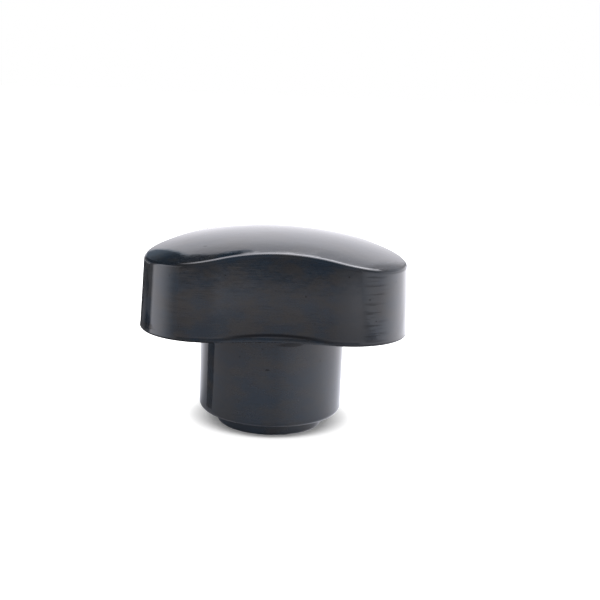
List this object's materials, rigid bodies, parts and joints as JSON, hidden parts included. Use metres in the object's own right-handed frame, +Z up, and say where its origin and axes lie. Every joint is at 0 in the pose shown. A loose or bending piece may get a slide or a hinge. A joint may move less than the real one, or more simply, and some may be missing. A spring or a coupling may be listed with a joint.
{
  "type": "star knob",
  "caption": "Lobed star knob with a domed top, a round hub and a blind threaded insert, for tightening a stud or screw by hand.",
  "frame": {"origin": "on the thread's axis, in the plane of the face that the knob seats on", "axes": "+Z up the thread's axis towards the domed top; one lobe points along +Y and the valley between the other two faces -Y"},
  "size_m": [0.0462, 0.0431, 0.0354],
  "materials": {
    "phenolic": "moulded gloss, near black",
    "brass": "turned, knurled and tapped"
  },
  "bodies": {
    "root": {"knob_body": "phenolic", "threaded_insert": "brass"}
  },
  "joints": []
}
